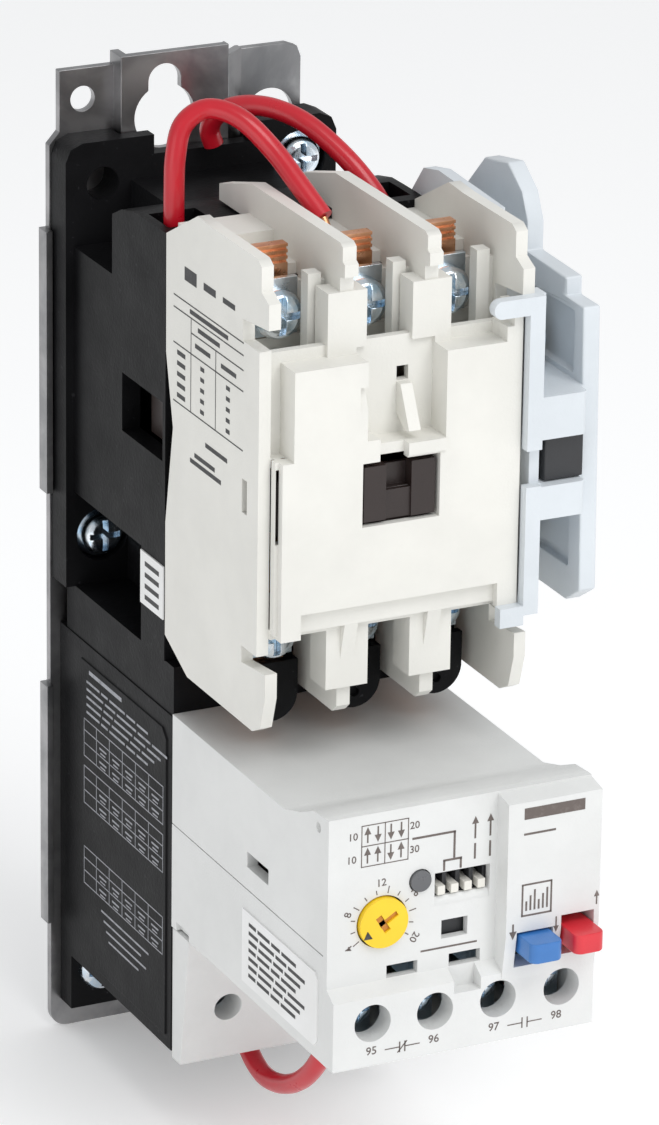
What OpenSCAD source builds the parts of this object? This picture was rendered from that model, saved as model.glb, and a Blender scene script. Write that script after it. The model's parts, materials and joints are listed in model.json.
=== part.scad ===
// Magnetic motor starter: a three-pole contactor with a side-mounted auxiliary
// contact block and an electronic overload relay, on a steel mounting plate.
// X runs to the right, Y from the front to the back, Z up. The back of the
// mounting plate lies on the plane y = 0, so everything else has a negative y.
// Heights inside the modules are measured from the plate's bottom edge, and
// on_plate() brings them to the origin, the centre of the lower screw hole.

/* [Mounting plate] */
// Width of the steel plate
plate_w = 48.6; // [46:0.2:52]
// Height of the plate without the raised keyhole bridge
plate_h = 168.2; // [166:0.2:172]
// Thickness of the sheet
plate_t = 1.5; // [1.2:0.1:1.5]
// Height of the lower screw hole above the plate's bottom edge
lower_hole_z = 7; // [6:0.5:8]
// Radius of the lower screw hole
lower_hole_r = 2.7; // [2.2:0.1:3]
// Radius of the ground screw hole
ground_hole_r = 2.1; // [1.7:0.1:2.5]

/* [Contactor] */
// Width of the contactor and of the relay
frame_w = 45; // [45:0.1:45.4]
// Distance between the poles
pole_pitch = 14.4; // [14.2:0.1:14.6]
// How far the contact carrier moves when the coil pulls in
pull_in = 4.5; // [3.5:0.1:4.5]
// Spacing of the contactor's fixing holes across the width
fix_dx = 35; // [34:0.5:36]
// Spacing of the contactor's fixing holes up the height
fix_dz = 60; // [59:0.5:60]

/* [Overload relay] */
// Radius of the current setting dial
dial_r = 4.1; // [3.6:0.1:4.2]
// How far the reset and trip levers stand out of the panel
lever_out = 4.6; // [4:0.1:6]
// Radius of the four control terminal holes
control_hole_r = 3.1; // [2.9:0.1:3.3]

/* [Wiring] */
// Outer diameter of the insulated wires
wire_d = 3.3; // [2.8:0.1:3.4]

/* [Hidden] */

$fn = 48;
gap = 0.3;
poles = [-pole_pitch, 0, pole_pitch];
half_w = frame_w / 2;
fix_x = fix_dx / 2;
// Heights of the contactor's fixing holes
fix_top_z = 150.5;
fix_low_z = fix_top_z - fix_dz;

// Contactor planes
flange_y = -7.5;
screw_seat_y = -5.5;
side_back_y = -43;
base_front_y = -60.5;
cover_wall = 2;
cover_in = half_w - cover_wall;
panel_y = -80.4;
panel_wall = 1.4;
chamber_y = panel_y + panel_wall;
tray_y = -75.2;
panel_step_z = 127.4;
base_z0 = 82;
body_z0 = 98.5;
body_z1 = 153.5;
ear_z = 157.6;
barrier_t = 2.3;
line_screw_z = 146.6;
load_screw_z = 93.5;
screw_r = 1.95;
head_r = 4;
tip_line_z = 128.5;
tip_load_z = 110.5;
contact_y = -62.5;
carrier_z0 = 115;
carrier_z1 = 124;
carrier_mid_z = (carrier_z0 + carrier_z1) / 2;

// Auxiliary block planes
aux_x0 = half_w;
aux_wall_x = 24.6;
aux_x1 = 32.2;
aux_x2 = 35.2;
aux_top_z = 136.8;
aux_low_z = 107.6;
aux_seat_y = -66.4;

// Relay planes
relay_z0 = 37.1;
relay_seam_z = 55.2;
relay_z1 = 74.1;
relay_back_y = -46.3;
shell_front_y = -102;
dial_y = -103.4;
brand_y = -107.1;
terminal_y = -105.9;
shell_wall = 2;
relay_in = half_w - shell_wall;
dial_x = -13.2;
dial_z = 59.9;
control_x = [-15.75, -5.05, 5.85, 16.9];
control_z = 44.3;
dip_x = [-3, -0.7, 1.6, 3.9];
dip_z = 62.4;
lug_z = 23.1;
busbar_y = -30;

// Hand-laid routes of the wires, heights from the plate's bottom edge
wire_a = [[-18.9, -38, 145.4], [-18.9, -38, 152], [-18.9, -38, 158], [-18.6, -37.8, 164],
    [-17, -37.2, 168.8], [-13.4, -38.3, 171.2], [-9.5, -41.9, 170.2], [-6, -46.5, 166],
    [-3.8, -51.8, 161.4], [-2, -56.4, 157.4]];
wire_a_core = [[-2, -56.4, 157.4], [-1.5, -58.6, 154.2], [-1.5, -60, 153.1],
    [-1.5, -62.7, 153], [-1.5, -63.3, 151.8], [-1.5, -63.35, 149]];
wire_b = [[1, -9.6, 155.4], [0.2, -9.8, 158.2], [0.6, -12, 161.2], [2.6, -16, 163.5],
    [6, -20.5, 164], [9.5, -25, 162.6], [12.8, -29.6, 159.4], [15.6, -34, 155.4],
    [17.8, -37.2, 150.8], [18.9, -38, 145.4]];
wire_c = [[-7.2, -40, 19], [-7.2, -41, 14], [-7.2, -44.5, 10.4], [-7.2, -50, 8.9],
    [-7.2, -57, 10.6], [-7.2, -64, 14.6], [-7.2, -70, 20.6], [-7.2, -74, 28],
    [-7.2, -75.4, 35], [-7.2, -75.6, 41]];

// ---- shared shapes ----

module on_plate() {
    translate([0, 0, -lower_hole_z]) children();
}

// Box between two corners
module block(x0, x1, y0, y1, z0, z1) {
    translate([x0, y0, z0]) cube([x1 - x0, y1 - y0, z1 - z0]);
}

// Outline in [y, z], extruded from x0 to x1
module side_shape(x0, x1, outline) {
    translate([x0, 0, 0]) rotate([90, 0, 90]) linear_extrude(x1 - x0) polygon(outline);
}

// Outline in [x, z], extruded from y0 (front) to y1 (back)
module front_shape(y0, y1, outline) {
    translate([0, y1, 0]) rotate([90, 0, 0]) linear_extrude(y1 - y0) polygon(outline);
}

// Round bar or bore along Y
module rod_y(x, z, r, y0, y1) {
    translate([x, y1, z]) rotate([90, 0, 0]) cylinder(r = r, h = y1 - y0);
}

module both_sides() {
    children();
    mirror([1, 0, 0]) children();
}

// Pan head screw along Y: seat_y is under the head, tip_y is the shank's end
module pan_screw(x, z, r_head, r_shank, seat_y, tip_y, h_head) {
    slot_w = r_head * 0.28;
    slot_h = h_head * 0.55;
    difference() {
        union() {
            translate([x, seat_y, z]) rotate([90, 0, 0]) rotate_extrude()
                polygon([[0, 0], [r_head, 0], [r_head, h_head * 0.45],
                    [r_head * 0.86, h_head * 0.84], [r_head * 0.6, h_head], [0, h_head]]);
            rod_y(x, z, r_shank, seat_y, tip_y);
        }
        translate([x, seat_y - h_head, z]) {
            cube([r_head * 1.5, slot_h * 2, slot_w], center = true);
            cube([slot_w, slot_h * 2, r_head * 1.5], center = true);
        }
    }
}

// Swept tube: rings of n points round a route
function unit(v) = v / norm(v);
function tangent(p, i) = unit(p[min(i + 1, len(p) - 1)] - p[max(i - 1, 0)]);
function ring(p, i, r, n) =
    let (t = tangent(p, i), u = unit(cross(t, [1, 1, 0.2])), v = cross(t, u))
    [for (k = [0:n - 1]) p[i] + r * (cos(360 * k / n) * u + sin(360 * k / n) * v)];
function tube_faces(rings, n) = concat(
    [[for (k = [0:n - 1]) k]],
    [for (i = [0:rings - 2]) for (k = [0:n - 1])
        [i * n + k, (i + 1) * n + k, (i + 1) * n + (k + 1) % n]],
    [for (i = [0:rings - 2]) for (k = [0:n - 1])
        [i * n + k, (i + 1) * n + (k + 1) % n, i * n + (k + 1) % n]],
    [[for (k = [n - 1:-1:0]) (rings - 1) * n + k]]);
// Catmull-Rom curve through the route's points, with m steps between two points
function curve_point(a, b, c, d, t) = 0.5 * (2 * b + (c - a) * t
    + (2 * a - 5 * b + 4 * c - d) * t * t + (3 * b - a - 3 * c + d) * t * t * t);
function smooth(p, m) = concat(
    [for (i = [0:len(p) - 2]) for (j = [0:m - 1])
        curve_point(p[max(i - 1, 0)], p[i], p[i + 1], p[min(i + 2, len(p) - 1)], j / m)],
    [p[len(p) - 1]]);

module tube(route, r, n = 8, steps = 3) {
    line = smooth(route, steps);
    polyhedron(points = [for (i = [0:len(line) - 1]) each ring(line, i, r, n)],
        faces = tube_faces(len(line), n), convexity = 6);
}

// Coil spring standing on [x, y, z0] along Z, or along Y when flat is true
module coil_spring(length, r, wire_r, turns) {
    per_turn = 8;
    rings = turns * per_turn + 1;
    sides = 6;
    rise = (length - 2 * wire_r) / (rings - 1);
    points = [for (i = [0:rings - 1]) for (k = [0:sides - 1])
        let (a = 360 * i / per_turn, b = 360 * k / sides, rr = r + wire_r * cos(b))
        [rr * cos(a), rr * sin(a), wire_r + i * rise + wire_r * sin(b)]];
    faces = concat(
        [[for (k = [sides - 1:-1:0]) k]],
        [for (i = [0:rings - 2]) for (k = [0:sides - 1])
            [i * sides + k, i * sides + (k + 1) % sides, (i + 1) * sides + (k + 1) % sides]],
        [for (i = [0:rings - 2]) for (k = [0:sides - 1])
            [i * sides + k, (i + 1) * sides + (k + 1) % sides, (i + 1) * sides + k]],
        [[for (k = [0:sides - 1]) (rings - 1) * sides + k]]);
    polyhedron(points = points, faces = faces, convexity = 10);
}

module spring_y(x, z, y0, y1, r, wire_r, turns) {
    translate([x, y1, z]) rotate([90, 0, 0]) coil_spring(y1 - y0, r, wire_r, turns);
}

// ---- mounting plate ----

module mounting_plate() {
    hw = plate_w / 2;
    bridge_x0 = -13;
    bridge_x1 = 6;
    slope = 3.6;
    bridge_z0 = 151;
    bridge_top = plate_h + 2;
    raise = 3;
    key_x = -5.3;
    key_z = 159.5;
    key_r = 5.3;
    slot_r = 2.85;
    slot_z = 165.4;
    lip = 1.2;
    color("silver") on_plate() difference() {
        union() {
            front_shape(-plate_t, 0, [[-hw + 3, 0], [hw - 3, 0], [hw, 3], [hw, 152],
                [20.3, 152], [20.3, plate_h - 2.5], [19.6, plate_h - 0.7],
                [17.8, plate_h], [bridge_x1 + slope, plate_h],
                [bridge_x1 + slope, bridge_z0], [bridge_x0, bridge_z0], [bridge_x0, plate_h],
                [-half_w, plate_h], [-half_w, 158], [-hw, 156], [-hw, 3]]);
            for (c = [-1, 1]) rod_y(c * (hw - 3), 3, 3, -plate_t, 0);
            translate([0, 0, bridge_z0]) linear_extrude(bridge_top - bridge_z0)
                polygon([[bridge_x0, 0], [bridge_x0, -raise - plate_t], [bridge_x1, -raise - plate_t],
                    [bridge_x1 + slope, -plate_t], [bridge_x1 + slope, 0],
                    [bridge_x1 + slope - 0.6, 0], [bridge_x1 - 0.6, -raise],
                    [bridge_x0 + plate_t, -raise], [bridge_x0 + plate_t, 0]]);
            both_sides() for (z = [[97, 142], [20, 63]]) {
                block(-hw - lip, -hw, -2 * plate_t, 0, z[0], z[1]);
                block(-hw - lip, -hw + 1, -plate_t, 0, z[0], z[1]);
            }
        }
        rod_y(0, lower_hole_z, lower_hole_r, -5, 1);
        rod_y(-18.4, 163.1, ground_hole_r, -5, 1);
        rod_y(key_x, key_z, key_r, -6, -1);
        rod_y(key_x, slot_z, slot_r, -6, -1);
        block(key_x - slot_r, key_x + slot_r, -6, -1, key_z, slot_z);
        rod_y(14.7, 156.6, 4.3, -5, 1);
        block(10.4, 19, -5, 1, 153.4, 156.6);
        block(bridge_x1, bridge_x1 + slope + 1, -6, 1, plate_h + 0.2, bridge_top + 1);
        rod_y(fix_x, fix_top_z, 2, -5, 1);
        rod_y(-fix_x, fix_low_z, 2, -5, 1);
        for (c = [-1, 1]) rod_y(c * fix_x, 12, 2, -5, 1);
    }
}

// ---- contactor: base, magnet and coil ----

module contactor_base() {
    flange_w = 24;
    ear_x = 8.5;
    valley_z = 154.4;
    pocket_x = 12.5;
    pocket_z = 140.5;
    pocket_y = -22.4;
    rear_y = -9.3;
    cavity_z0 = 101.5;
    cavity_z1 = 137.5;
    color([0.13, 0.13, 0.13]) on_plate() difference() {
        union() {
            difference() {
                union() {
                    front_shape(flange_y, -plate_t, [[-flange_w, base_z0], [flange_w, base_z0],
                        [flange_w, ear_z - 3], [flange_w - 0.9, ear_z - 0.9],
                        [flange_w - 3, ear_z], [ear_x, ear_z],
                        [ear_x, valley_z], [-ear_x, valley_z], [-ear_x, ear_z],
                        [-flange_w + 3, ear_z], [-flange_w + 0.9, ear_z - 0.9],
                        [-flange_w, ear_z - 3]]);
                    side_shape(-half_w, half_w, [[flange_y, body_z0], [flange_y, 150.5],
                        [pocket_y, 150.5], [-26, 152.3], [-31, 153.4], [-36, body_z1],
                        [side_back_y, body_z1], [side_back_y, body_z0]]);
                    block(-13, 13, side_back_y, flange_y, base_z0, body_z0);
                    block(-half_w, half_w, side_back_y, -34, base_z0, body_z0);
                    block(-cover_in + gap, cover_in - gap, base_front_y, side_back_y, 84.5, 150.4);
                }
                both_sides() {
                    block(-30, -pocket_x, pocket_y, flange_y, pocket_z, 160);
                    block(-21, -13, -40.6, -33, 143.9, 160);
                    block(-18.8, -16.2, -34.8, -33.2, 136, 144);
                    block(-23, -19, -42, -26.4, 115.5, 125.3);
                }
                block(-19.3, 19.3, -48, rear_y, cavity_z0, cavity_z1);
                block(-pocket_x + 2, pocket_x - 2, -41, rear_y, cavity_z1 - 1, 149);
                block(-20.6, 20.6, -61, -46.8, 113.2, 125.8);
                block(19, 20.6, -52.2, side_back_y, 117.6, 124.8);
                block(-11, 11, -41, rear_y, 84, 97);
            }
            both_sides() block(-16.4, -12.2, -30, rear_y + 0.5, 117, 122);
        }
        block(-13.5, 10.8, -4.9, 0, 150.4, 158.5);
        for (p = poles) for (z = [line_screw_z, load_screw_z]) {
            block(p - 3.7, p + 3.7, base_front_y - 0.1, -58.2, z - 3.7, z + 3.7);
            rod_y(p, z, 2.4, -59, -54);
        }
        for (c = [-1, 1]) {
            rod_y(c * fix_x, c * fix_dz / 2 + (fix_top_z + fix_low_z) / 2, 2.2, -9, 0);
            rod_y(c * fix_x, c * fix_dz / 2 + (fix_top_z + fix_low_z) / 2, 4.6, -9, screw_seat_y);
            rod_y(-c * fix_x, c * fix_dz / 2 + (fix_top_z + fix_low_z) / 2, 2.8, -9, 0);
        }
    }
}

module fixed_core() {
    color("slategray") on_plate() difference() {
        union() {
            block(-6.5, 6.5, -14.8, -9.3, 103.5, 135.5);
            block(-6.5, 6.5, -34, -14.8, 103.5, 109.5);
            block(-6.5, 6.5, -33.6, -14.8, 114.5, 124.5);
            block(-6.5, 6.5, -34, -14.8, 129.5, 135.5);
        }
        block(-7, 7, -34.1, -32, 105.9, 107.1);
        block(-7, 7, -34.1, -32, 131.9, 133.1);
        for (z = [106.5, 132.5]) rod_y(0, z, 1.2, -13, -8);
    }
}

module shading_rings() {
    ring_z = [102, 132.1];
    color("chocolate") on_plate() for (z = ring_z) difference() {
        block(-8, 8, -33.9, -32.2, z, z + 4.9);
        block(-6.6, 6.6, -34, -32, z + (z < 110 ? 1.4 : 0.9), z + (z < 110 ? 4 : 3.5));
    }
}

module coil_bobbin() {
    color("gainsboro") on_plate() difference() {
        union() {
            for (y = [-33, -16]) block(-11.5, 11.5, y, y + 1.2, 110.2, 128.8);
            block(-7.9, 7.9, -33, -14.8, 113.2, 125.8);
        }
        block(-6.9, 6.9, -34, -14, 114.1, 124.9);
    }
}

module coil_winding() {
    color("firebrick") on_plate() difference() {
        block(-10.8, 10.8, -31.8, -16, 110.8, 128.2);
        block(-7.9, 7.9, -32, -15, 113.2, 125.8);
    }
}

module coil_terminals() {
    color("goldenrod") on_plate() both_sides() difference() {
        union() {
            block(-20.6, -13.4, -39.6, -33.6, 143.9, 145.1);
            block(-18.5, -16.5, -34.4, -33.6, 126, 145.1);
        }
        translate([-15.1, -37, 143]) cylinder(r = 1.3, h = 3);
    }
}

module coil_terminal_screws() {
    color("lightsteelblue") on_plate() both_sides() translate([-15.1, -37, 145.1]) difference() {
        union() {
            translate([0, 0, -1.1]) cylinder(r = 1.25, h = 1.2);
            rotate_extrude() polygon([[0, 0], [1.7, 0], [1.7, 0.9], [1.3, 1.7], [0, 1.8]]);
        }
        translate([0, 0, 1.6]) cube([4, 0.6, 1.6], center = true);
    }
}

module armature() {
    color("slategray") on_plate() union() {
        block(-6.5, 6.5, -46, -41, 103.5, 135.5);
        block(-6.5, 6.5, -41, -38.7, 103.5, 109.5);
        block(-6.5, 6.5, -41, -39.1, 114.5, 124.5);
        block(-6.5, 6.5, -41, -38.7, 129.5, 135.5);
    }
}

// ---- contactor: moving contacts ----

module contact_carrier() {
    post = 1.4;
    reach = 5.4;
    front = -78.6;
    color([0.2, 0.15, 0.14]) on_plate() difference() {
        union() {
            for (p = poles) {
                for (c = [-1, 1]) translate([p + c * (reach - post / 2), front, carrier_z0])
                    translate([-post / 2, 0, 0]) cube([post, -60 - front, carrier_z1 - carrier_z0]);
                block(p - reach, p + reach, front, front + 2, carrier_z0, carrier_z1);
                block(p - reach, p + reach, -68.3, -66.3, carrier_z0, carrier_z1);
            }
            // contact position indicator that shows in the cover's window
            block(-5.8, 6.4, front - 0.8, front + 1, 115.7, 120.4);
            block(-5.8, -2, front - 1.2, front + 1, 115.7, 124.7);
            block(2.3, 6.4, front - 1.2, front + 1, 115.7, 124.7);
            block(-19, 20.1, -60, -52, carrier_z0, carrier_z1);
            block(-8.6, 8.6, -52, -46.3, carrier_z0 - 0.6, carrier_z1 + 0.6);
            both_sides() {
                block(-8.6, -7, -46.3, -42, carrier_z0, carrier_z1);
                block(-19, -17.2, -52, -30, carrier_z0 + 1, carrier_z1 + 0.5);
            }
        }
        block(-2, 2.3, front - 2, front + 1.2, 120.5, carrier_z1 + 2);
    }
}

module moving_contacts() {
    color("peru") on_plate() for (p = poles) union() {
        block(p - 3, p + 3, -69.7, -68.5, 107.5, 131.5);
        for (z = [tip_line_z, tip_load_z]) rod_y(p, z, 1.8, -68.5, -67.9);
    }
}

module contact_springs() {
    color("lightgray") on_plate() for (p = poles)
        spring_y(p, carrier_mid_z, -76.5, -69.8, 2.2, 0.35, 5);
}

module return_springs() {
    color("lightgray") on_plate() for (c = [-1, 1])
        spring_y(c * 14.3, carrier_mid_z, -51.9, -30.1, 1.6, 0.3, 9);
}

module line_contacts() {
    groove = 0.5;
    color("chocolate") on_plate() for (p = poles) difference() {
        union() {
            block(p - 3.5, p + 3.5, contact_y, contact_y + 2, 126, 156.3);
            rod_y(p, tip_line_z, 2, contact_y - 0.6, contact_y);
        }
        rod_y(p, line_screw_z, 2.3, -64, -60);
        rod_y(p - 1.5, 153.05, 1, -64, -60);
        for (i = [0:2]) block(p - 4, p + 4, contact_y - 1, contact_y + groove,
            153.3 + i, 153.3 + i + groove);
    }
}

module load_contacts() {
    color("chocolate") on_plate() for (p = poles) difference() {
        union() {
            block(p - 3.5, p + 3.5, contact_y, contact_y + 2, 85.5, 113);
            rod_y(p, tip_load_z, 2, contact_y - 0.6, contact_y);
        }
        rod_y(p, load_screw_z, 2.3, -64, -60);
    }
}

module terminal_nut_plates() {
    color("lightslategray") on_plate() for (p = poles) for (z = [line_screw_z, load_screw_z])
        difference() {
            block(p - 3.4, p + 3.4, base_front_y, -58.4, z - 3.4, z + 3.4);
            rod_y(p, z, 2, -62, -56);
        }
}

// Saddle clamp with bent ears that keep a wire under the screw
module saddle_clamp(x, z, half, seat_y, t, bore_r) {
    difference() {
        union() {
            block(x - half, x + half, seat_y, seat_y + t, z - half, z + half + 1.4);
            for (c = [-1, 1]) translate([x + c * (half - 0.35), seat_y + t / 2 + 0.4, z])
                cube([0.7, t + 0.8, half], center = true);
        }
        rod_y(x, z, bore_r, seat_y - 2, seat_y + t + 2);
    }
}

module terminal_clamps() {
    color("lightsteelblue") on_plate() for (p = poles) {
        saddle_clamp(p, line_screw_z, 3.9, -65.3, 1.1, 2.2);
        difference() {
            block(p - 3.9, p + 3.9, -64.8, -63.7, load_screw_z - 3.9, load_screw_z + 3.9);
            rod_y(p, load_screw_z, 2.2, -67, -62);
        }
    }
}

module terminal_screws() {
    color("lightsteelblue") on_plate() for (p = poles) {
        pan_screw(p, line_screw_z, head_r, screw_r, -65.3, -55, 3.2);
        pan_screw(p, load_screw_z, head_r - 0.2, screw_r, -64.8, -55, 3);
    }
}

module base_screws() {
    places = [[-fix_x, fix_low_z], [fix_x, fix_top_z]];
    color("lightsteelblue") on_plate() for (s = places) {
        pan_screw(s[0], s[1], 3.5, screw_r, screw_seat_y - 0.7, -0.2, 2.6);
        difference() {
            rod_y(s[0], s[1], 4.2, screw_seat_y - 0.7, screw_seat_y);
            rod_y(s[0], s[1], 2.05, screw_seat_y - 2, screw_seat_y + 1);
        }
    }
}

// ---- contactor: cover ----

module contactor_cover() {
    b = barrier_t / 2;
    wall_x = pole_pitch / 2;
    shelf_y = base_front_y - 0.3;
    panel_x0 = -19.9;
    panel_x1 = 20.7;
    panel_top_x0 = -18;
    slot_x0 = -5.6;
    slot_x1 = 7.8;
    side = [[-43.1, 153.6], [-54.7, 159.8], [-59.8, 159.5], [-76.2, 159.5], [-77.7, 158.6],
        [-77.7, 154.6], [-80.4, 153.4], [-80.4, 149.3], [-71.2, 148.4], [-71.3, 144.9],
        [-77.2, 144.9], [-77.2, 95.3], [-71.7, 95.3], [-71.7, 92.5], [-80.4, 93.5],
        [-80.4, 89.4], [-78.8, 84], [-75.9, 82.5], [-51.7, 82.5], [-43.2, 86.6],
        [-43.2, 105.7], [-45.9, 122.4], [-43.2, 134.2]];
    barrier = [[-32, 153.9], [-32, 156.6], [-44, 160], [-75.4, 160], [-76.4, 159.4],
        [-76.4, 157.2], [-77.2, 156.8], [-77.2, 154.8], [-75.6, 154.4], [-75.6, 152],
        [tray_y, 150], [tray_y, panel_step_z], [chamber_y, panel_step_z], [chamber_y, 99],
        [-76.5, 88], [-76.5, 84.5], [-75, 83.2], [shelf_y, 83.2], [shelf_y, 150.4],
        [-43, 150.4], [-43, 153.9]];
    color([0.93, 0.92, 0.88]) on_plate() difference() {
        union() {
            for (x = [-half_w, cover_in]) side_shape(x, x + cover_wall, side);
            for (c = [-1, 1]) side_shape(c * wall_x - b, c * wall_x + b, barrier);
            block(-cover_in, cover_in, -60.2, -43, 150.4, 152.2);
            // raised ledge at the back, behind the left line terminal
            block(-cover_in, -wall_x, -52, -43.1, 152.2, 155);
            // raised front panel with its two feet; it stands back in the channel
            block(panel_x0, panel_x1, panel_y, chamber_y, 102.4, panel_step_z);
            for (x = [panel_x0, panel_x1 - 3.4]) block(x, x + 3.4, panel_y, chamber_y, 98.3, 103);
            for (x = [panel_x0, panel_x1 - 1]) block(x, x + 1, panel_y, -76.9, 98.3, panel_step_z);
            difference() {
                block(panel_top_x0, panel_x1, panel_y, tray_y, 125.8, 142);
                for (x = [[panel_top_x0 + 1.2, slot_x0 - 1.4], [slot_x1 + 1.4, panel_x1 - 1.2]])
                    block(x[0], x[1], chamber_y, tray_y + 1, 120, 140.6);
                block(-5.4, 6.7, chamber_y, tray_y + 1, 120, 126.2);
            }
            block(18, panel_x1, panel_y, tray_y, 141, 144.4);
            block(19.2, panel_x1, panel_y, tray_y, 144.3, 147.6);
            // chamber's front wall, with the wire tray above it and its floor below
            block(-cover_in, cover_in, chamber_y, -77.6, 99, panel_step_z);
            block(-cover_in, cover_in, -77.2, tray_y + 1.4, panel_step_z - 1.4, panel_step_z);
            block(-cover_in, cover_in, tray_y, tray_y + 1.4, panel_step_z - 1, 143.8);
            block(-cover_in, cover_in, tray_y, -63.3, 138.6, 140.2);
            block(-cover_in, cover_in, -77.7, -63.3, 98, 99.6);
            // walls behind the line terminals
            block(-cover_in, cover_in, -64, -62.8, 140, 142);
            for (x = [-20.7, -10.5, -6.15, 3.9, 8.25, 18.45])
                block(x, x + 2.25, -62.4, -60.8, 140, 150);
            // blocks and ribs that guide the wires at the line terminals
            for (c = [-1, 1]) {
                block(c * wall_x - 3.3, c * wall_x + 3.3, -76, -71.5, 140.2, 152.2);
                block(c * wall_x - 3.6, c * wall_x + 3.6, -77.6, -72, 88, 99);
            }
            for (x = [-wall_x - b, wall_x - b, cover_in]) {
                block(x - 3.2, x - 1, -71, -68.6, 140.1, 154);
                block(x - 1.1, x + 0.1, -70.2, -69.2, 140.1, 152.5);
            }
            block(1.3, slot_x1, panel_y - 0.4, chamber_y, 126, 128);
        }
        // window of the contact position indicator
        block(-6.3, 6.9, panel_y - 1, -77, 115.2, 125.6);
        block(-3.4, 1.3, panel_y - 2, chamber_y, 125.5, 129.2);
        // channel above it, down to the tray's front wall
        difference() {
            block(slot_x0, slot_x1, panel_y - 2, tray_y, 128, 143);
            block(slot_x0 - 1, -3.4, panel_y, tray_y + 1, 127, 129.2);
            // latch tab, sprung outwards at its lower end
            side_shape(1.7, 3.7, [[tray_y + 0.5, 136.2], [-76.6, 136.2], [-79.9, 129.6],
                [-78.5, 129.2], [tray_y + 0.5, 131.6]]);
        }
        block(1.7, 3.7, tray_y - 0.1, tray_y + 2, 136.4, 138.7);
        side_shape(-6.9, slot_x0 + 0.1, [[panel_y - 1, 131], [panel_y - 1, 138],
            [chamber_y, 138]]);
        // cut-outs for the contact carrier
        block(-cover_in + 0.1, cover_in - 0.1, -77.5, -46, 111.8, 127.3);
        for (p = poles) block(p - 6, p + 6, -79, -77.4, 114, 126.2);
        block(20, 23, -52.2, -42.9, 117.6, 124.8);
        block(-23, -20, -73.2, -71.4, 117.2, 122.7);
    }
}

// ---- auxiliary contact block ----

module aux_housing() {
    inner = [[-38, 153.4], [-42, 158.2], [-47.3, 159.3], [-66, 158.5], [-66, 148],
        [-78.6, 148], [-78.6, 97], [-44, 97], [-38, 103]];
    color([0.84, 0.88, 0.92]) on_plate() difference() {
        union() {
            side_shape(aux_x0, aux_wall_x, inner);
            block(aux_wall_x, aux_x1, -42, -40, 99, 150);
            block(aux_wall_x, aux_x1, -79.2, -41, 126, 132.5);
            block(aux_wall_x, aux_x1, -79.2, -41, 112.5, 117.8);
            block(aux_wall_x, aux_x1, -60, -41, 142, 143.5);
            block(aux_wall_x, aux_x1, -60, -41, 101, 102.5);
            // front bar with its hooks over the cover's edge, and the crossbars
            block(21, 23.6, panel_y - 1.8, panel_y, 97, 149.3);
            block(aux_x0, 24.2, panel_y - 0.6, -78, 97, 149.3);
            block(16.2, 21.1, panel_y - 1.8, panel_y, 146.4, 149.3);
            rod_y(16.2, 147.85, 1.45, panel_y - 1.8, panel_y);
            block(17, 21.1, panel_y - 1.8, panel_y, 95.4, 98.6);
            for (z = [[125.7, 132.7], [112.5, 118]]) {
                block(23.4, 30.4, panel_y - 1.8, -78.5, z[0], z[1]);
                block(30.3, 31.4, panel_y - 0.9, -78.5, z[0], z[1]);
                translate([30.4, panel_y - 0.8, z[0]]) cylinder(r = 1, h = z[1] - z[0]);
            }
        }
        block(25.2, 31.8, -67, -56, 112.9, 131);
        block(22, 25.3, -52.4, -43.2, 117.6, 124.8);
        block(26.3, 30.3, -58.3, -56.7, 130, 134.4);
        block(26.3, 30.3, -58.3, -56.7, 110.6, 114);
        block(20, 24.7, panel_y - 2, panel_y + 0.3, 118.2, 124.2);
    }
}

module aux_outer_plate() {
    outer = [[-38, 153.4], [-44, 159.3], [-52, 160.8], [-57, 157.4], [-59.2, 153],
        [-59.2, 148.3], [-72.3, 148], [-72.3, 145], [-78.4, 145], [-79.6, 98.4],
        [-75, 95.4], [-44, 95.4], [-38, 101]];
    color([0.84, 0.88, 0.92]) on_plate() difference() {
        side_shape(aux_x1, aux_x2, outer);
        block(aux_x1 - 1, aux_x1 + 1.2, -75.4, -61, 133.4, 143.4);
        block(aux_x1 - 1, aux_x1 + 1.2, -75.4, -61, 101.2, 111.2);
    }
}

module aux_plunger() {
    color([0.32, 0.32, 0.34]) on_plate() difference() {
        union() {
            block(25, 31.7, -80.6, -47.5, 118.2, 125.5);
            block(19.4, 25.1, -51.7, -48, 118.6, 123.8);
        }
        rod_y(28.3, 121.8, 2.4, -58, -47);
        block(26.2, 30.4, -65.6, -61, 117, 127);
    }
}

module aux_moving_contact() {
    color("peru") on_plate() union() {
        block(26.6, 30, -64, -63, 113.4, 130.4);
        for (z = [114.8, 129]) rod_y(28.3, z, 1.1, -63, -62.7);
    }
}

module aux_fixed_contacts() {
    color("peru") on_plate() for (s = [[1, 127.4, 132.5], [-1, 116.6, 111.6]]) {
        up = s[0];
        finger_z = s[1];
        strip_z = s[2];
        term_z = up > 0 ? aux_top_z : aux_low_z;
        difference() {
            union() {
                block(26.6, 30, -58, -57, min(finger_z, strip_z), max(finger_z, strip_z + 0.9));
                block(26.6, 30, aux_seat_y + 3.4, -57, strip_z, strip_z + 0.9);
                block(25.4, 31.2, aux_seat_y + 2.5, aux_seat_y + 3.5,
                    min(term_z - 3.6, strip_z), max(term_z + 3.6, strip_z + 0.9));
            }
            rod_y(28.3, term_z, 1.9, -66, -61);
        }
    }
}

module aux_clamps() {
    color("lightsteelblue") on_plate() for (z = [aux_top_z, aux_low_z])
        saddle_clamp(28.3, z, 2.9, aux_seat_y, 0.9, 1.9);
}

module aux_screws() {
    color("lightsteelblue") on_plate() for (z = [aux_top_z, aux_low_z])
        pan_screw(28.3, z, 3.3, 1.7, aux_seat_y, -59.5, 2.4);
}

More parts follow.
